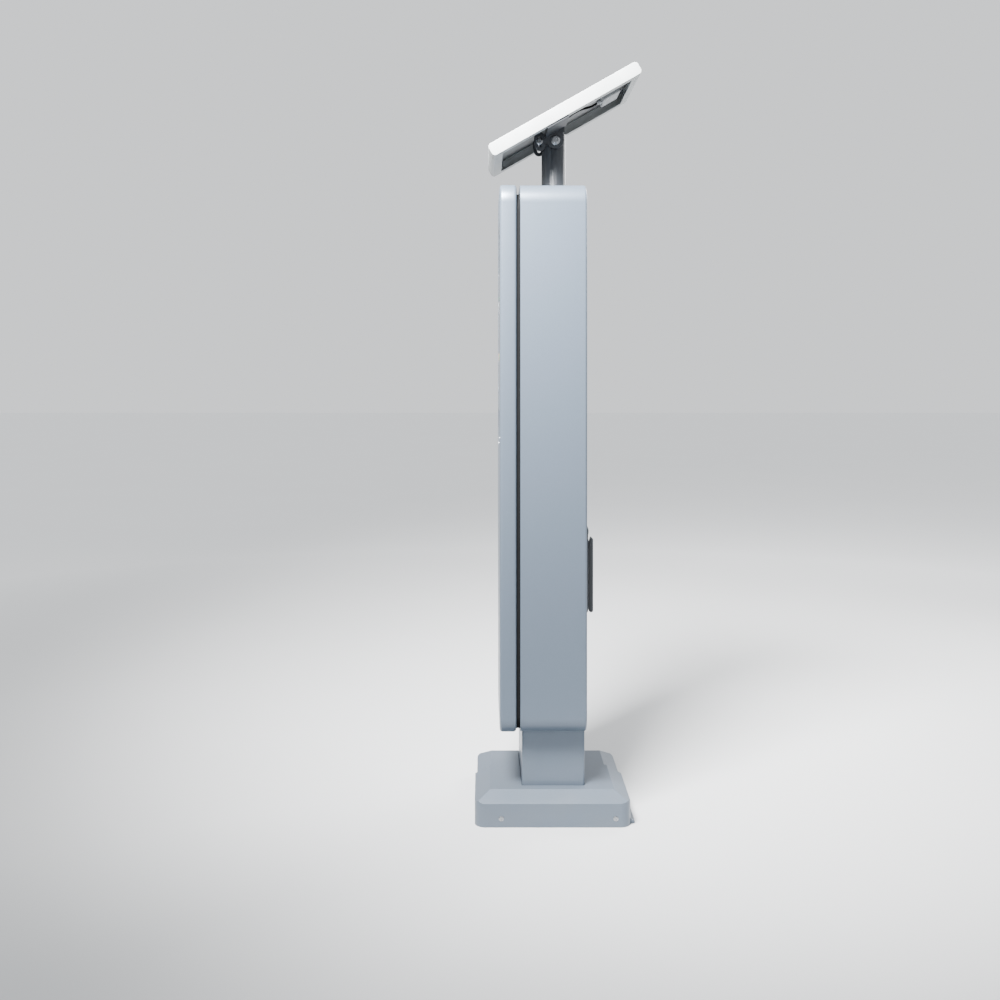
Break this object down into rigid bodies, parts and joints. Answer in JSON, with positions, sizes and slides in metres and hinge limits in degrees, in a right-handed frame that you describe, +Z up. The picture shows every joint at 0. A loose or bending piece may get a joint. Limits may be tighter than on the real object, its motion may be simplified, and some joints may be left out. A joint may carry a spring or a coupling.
{
  "type": "parking pay station",
  "caption": "Post-mounted parking pay station: slim cabinet with hinged front and rear doors, fascia controls, ticket and coin trays, hooded base and a tilting solar panel on a pole.",
  "frame": {"origin": "centre of the base on the ground, on the underside of the anchor plate", "axes": "+Z up, front door faces -Y, +X is the door's free edge"},
  "size_m": [0.3585, 0.3919, 1.7704],
  "materials": {
    "body_paint": "satin metallic powder coat",
    "dark_paint": "satin anthracite",
    "steel": "zinc plated",
    "stainless": "brushed stainless",
    "seal_rubber": "matt",
    "fascia_black": "satin black",
    "clear_pane": "clear",
    "button_metal": "satin",
    "button_red": "satin",
    "button_green": "satin",
    "circuit": "solder mask",
    "black_plastic": "fine grain",
    "grey_plastic": "fine grain",
    "paper": "matt",
    "panel_frame": "white anodised",
    "panel_cells": "cells under tempered glass"
  },
  "bodies": {
    "cabinet": {"anchor_plate": "steel", "pedestal": "body_paint", "pedestal_bolts": "steel", "hood_right": "body_paint", "hood_left": "body_paint", "hood_screws": "stainless", "cabinet_wrap": "body_paint", "front_frame": "body_paint", "rear_frame": "body_paint", "front_seal": "seal_rubber", "rear_seal": "seal_rubber", "rack_rails": "steel", "mounting_plate": "steel", "battery_tray": "steel", "battery": "black_plastic", "battery_strap": "dark_paint", "cash_shelf": "steel", "cash_box": "dark_paint", "control_box": "grey_plastic", "charge_controller": "black_plastic", "body_hinges": "dark_paint", "rear_pivot_pins": "stainless", "pole": "dark_paint", "pivot_bolts": "stainless", "supply_lead": "seal_rubber"},
    "front_door": {"door_hinges": "dark_paint", "front_door": "body_paint", "fascia": "fascia_black", "display_window": "clear_pane", "display_module": "circuit", "contactless_pad": "black_plastic", "card_reader": "black_plastic", "coin_slot_bezel": "stainless", "coin_validator": "black_plastic", "coin_chute": "steel", "button_board": "circuit", "ticket_tray": "stainless", "coin_cup": "stainless", "printer": "black_plastic", "roll_spindle": "steel"},
    "button_1": {"button_1": "button_metal"},
    "button_2": {"button_2": "button_metal"},
    "button_3": {"button_3": "button_red"},
    "button_4": {"button_4": "button_green"},
    "ticket_flap": {"ticket_flap": "clear_pane"},
    "coin_flap": {"coin_flap": "clear_pane"},
    "paper_roll": {"paper_roll": "paper"},
    "door_lock": {"door_lock": "stainless"},
    "rear_door": {"rear_door": "body_paint", "handle_plate": "dark_paint", "rod_guides": "black_plastic"},
    "handle_hub": {"handle_hub": "dark_paint"},
    "swing_handle": {"swing_handle": "dark_paint"},
    "latch_rod_upper": {"latch_rod_upper": "steel"},
    "latch_rod_lower": {"latch_rod_lower": "steel"},
    "panel": {"panel_yoke": "dark_paint", "panel_rails": "panel_frame", "panel_laminate": "panel_cells", "junction_box": "black_plastic", "panel_lead": "seal_rubber"}
  },
  "joints": [
    {"name": "front_door_swing", "type": "hinge", "parent": "cabinet", "child": "front_door", "pos_m": [-0.171, -0.07875, 0.843], "axis": [0, 0, -1], "range_deg": [0, 110]},
    {"name": "rear_door_swing", "type": "hinge", "parent": "cabinet", "child": "rear_door", "pos_m": [-0.141, 0.074, 0.843], "axis": [0, 0, 1], "range_deg": [0, 110]},
    {"name": "button_1_press", "type": "slide", "parent": "front_door", "child": "button_1", "axis": [0, 1, 0], "range_m": [0, 0.0025], "stiffness_N_per_m": 400},
    {"name": "button_2_press", "type": "slide", "parent": "front_door", "child": "button_2", "axis": [0, 1, 0], "range_m": [0, 0.0025], "stiffness_N_per_m": 400},
    {"name": "button_3_press", "type": "slide", "parent": "front_door", "child": "button_3", "axis": [0, 1, 0], "range_m": [0, 0.0025], "stiffness_N_per_m": 400},
    {"name": "button_4_press", "type": "slide", "parent": "front_door", "child": "button_4", "axis": [0, 1, 0], "range_m": [0, 0.0025], "stiffness_N_per_m": 400},
    {"name": "ticket_flap_swing", "type": "hinge", "parent": "front_door", "child": "ticket_flap", "pos_m": [-0.048, -0.1155, 0.948], "axis": [-1, 0, 0], "range_deg": [0, 75]},
    {"name": "coin_flap_swing", "type": "hinge", "parent": "front_door", "child": "coin_flap", "pos_m": [0.074, -0.1155, 0.947], "axis": [1, 0, 0], "range_deg": [0, 70]},
    {"name": "paper_roll_spin", "type": "hinge", "parent": "front_door", "child": "paper_roll", "pos_m": [-0.056, -0.07, 1.06], "axis": [1, 0, 0], "continuous": true},
    {"name": "door_lock_turn", "type": "hinge", "parent": "front_door", "child": "door_lock", "pos_m": [0.122, -0.122, 0.76], "axis": [0, -1, 0], "range_deg": [0, 90]},
    {"name": "handle_turn", "type": "hinge", "parent": "rear_door", "child": "handle_hub", "pos_m": [0.11, 0.08, 0.64], "axis": [0, 1, 0], "range_deg": [0, 90]},
    {"name": "handle_lift", "type": "hinge", "parent": "handle_hub", "child": "swing_handle", "pos_m": [0.11, 0.0925, 0.64], "axis": [1, 0, 0], "range_deg": [0, 12]},
    {"name": "latch_upper_slide", "type": "slide", "parent": "rear_door", "child": "latch_rod_upper", "axis": [0, 0, -1], "range_m": [0, 0.012]},
    {"name": "latch_lower_slide", "type": "slide", "parent": "rear_door", "child": "latch_rod_lower", "axis": [0, 0, 1], "range_m": [0, 0.012]},
    {"name": "panel_tilt", "type": "hinge", "parent": "cabinet", "child": "panel", "pos_m": [0, 0.0145, 1.607], "axis": [1, 0, 0], "range_deg": [-15, 15]}
  ],
  "couplings": [
    {"joint": "latch_upper_slide", "follows": "handle_turn", "m_per_rad": 0.0076394},
    {"joint": "latch_lower_slide", "follows": "handle_turn", "m_per_rad": 0.0076394}
  ]
}
